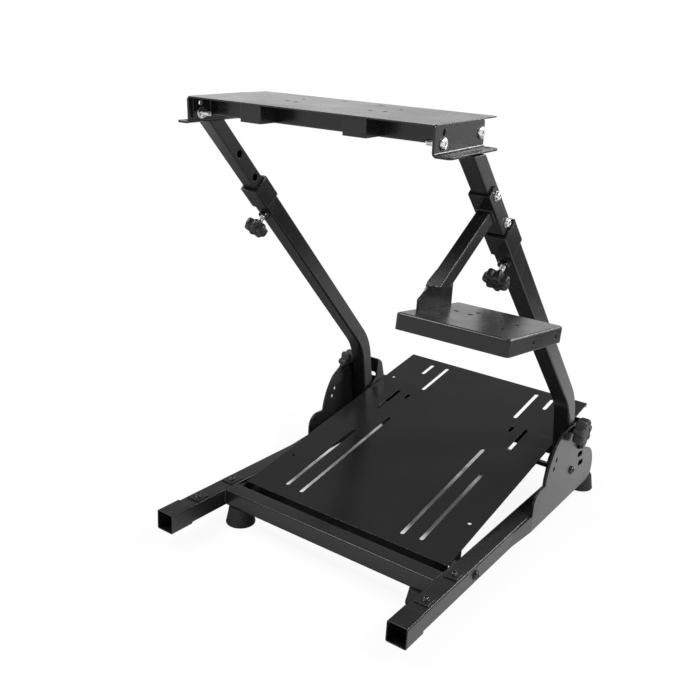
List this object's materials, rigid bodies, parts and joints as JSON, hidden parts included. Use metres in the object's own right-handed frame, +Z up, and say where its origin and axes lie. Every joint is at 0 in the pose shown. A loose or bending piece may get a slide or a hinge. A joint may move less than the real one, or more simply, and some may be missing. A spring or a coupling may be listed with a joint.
{
  "type": "folding racing wheel stand",
  "caption": "Folding steel stand that carries a racing wheel on a deck, a gear shifter on a side tray and pedals on a sloping plate.",
  "frame": {"origin": "on the floor, under the middle of the stand's bounding box", "axes": "+X to the driver's right, +Y to the rear, away from the driver, +Z up"},
  "size_m": [0.6304, 0.7584, 0.7346],
  "materials": {
    "frame_black": "satin black powder coat",
    "sheet_black": "fine satin black powder coat",
    "bolt_steel": "zinc plated",
    "knob_plastic": "moulded black plastic",
    "foot_rubber": "black rubber"
  },
  "bodies": {
    "base": {"left_rail": "frame_black", "left_sleeve": "frame_black", "left_bolt_pads": "frame_black", "left_outer_plate": "frame_black", "left_inner_plate": "frame_black", "left_front_foot": "foot_rubber", "left_rear_foot": "foot_rubber", "left_pivot_bolt": "bolt_steel", "left_pedal_bolt": "bolt_steel", "right_rail": "frame_black", "right_sleeve": "frame_black", "right_bolt_pads": "frame_black", "right_outer_plate": "frame_black", "right_inner_plate": "frame_black", "right_front_foot": "foot_rubber", "right_rear_foot": "foot_rubber", "right_pivot_bolt": "bolt_steel", "right_pedal_bolt": "bolt_steel", "front_crossbar": "frame_black", "rear_tie_bar": "frame_black", "pedal_rear_bar": "frame_black", "pedal_plate": "sheet_black", "pedal_rear_rod": "bolt_steel"},
    "uprights": {"left_upright": "frame_black", "left_collar": "frame_black", "right_upright": "frame_black", "right_collar": "frame_black"},
    "wheel_frame": {"left_inner_tube": "frame_black", "left_end_bracket": "frame_black", "left_deck_lug": "frame_black", "left_deck_stub": "frame_black", "right_inner_tube": "frame_black", "right_end_bracket": "frame_black", "right_deck_lug": "frame_black", "right_deck_stub": "frame_black", "deck_plate": "sheet_black", "deck_beam": "frame_black", "shifter_clamp": "frame_black", "shifter_arm": "frame_black", "shifter_gusset": "frame_black", "shifter_tray": "sheet_black"},
    "left_tube_knob": {"left_tube_knob": "knob_plastic"},
    "right_tube_knob": {"right_tube_knob": "knob_plastic"},
    "left_bracket_knob": {"left_bracket_knob": "knob_plastic"},
    "right_bracket_knob": {"right_bracket_knob": "knob_plastic"}
  },
  "joints": [
    {"name": "fold", "type": "hinge", "parent": "base", "child": "uprights", "pos_m": [0, 0.22062, 0.088], "axis": [1, 0, 0], "range_deg": [0, 38]},
    {"name": "height", "type": "slide", "parent": "uprights", "child": "wheel_frame", "axis": [0, -0.6997, 0.7145], "range_m": [0, 0.1]},
    {"name": "left_tube_knob_turn", "type": "hinge", "parent": "uprights", "child": "left_tube_knob", "pos_m": [-0.26279, -0.1332, 0.53198], "axis": [0, -0.7145, -0.6997], "continuous": true},
    {"name": "right_tube_knob_turn", "type": "hinge", "parent": "uprights", "child": "right_tube_knob", "pos_m": [0.18201, -0.1332, 0.53198], "axis": [0, -0.7145, -0.6997], "continuous": true},
    {"name": "left_bracket_knob_turn", "type": "hinge", "parent": "base", "child": "left_bracket_knob", "pos_m": [-0.28939, 0.20149, 0.17799], "axis": [-1, 0, 0], "continuous": true},
    {"name": "right_bracket_knob_turn", "type": "hinge", "parent": "base", "child": "right_bracket_knob", "pos_m": [0.20861, 0.20149, 0.17799], "axis": [1, 0, 0], "continuous": true}
  ]
}
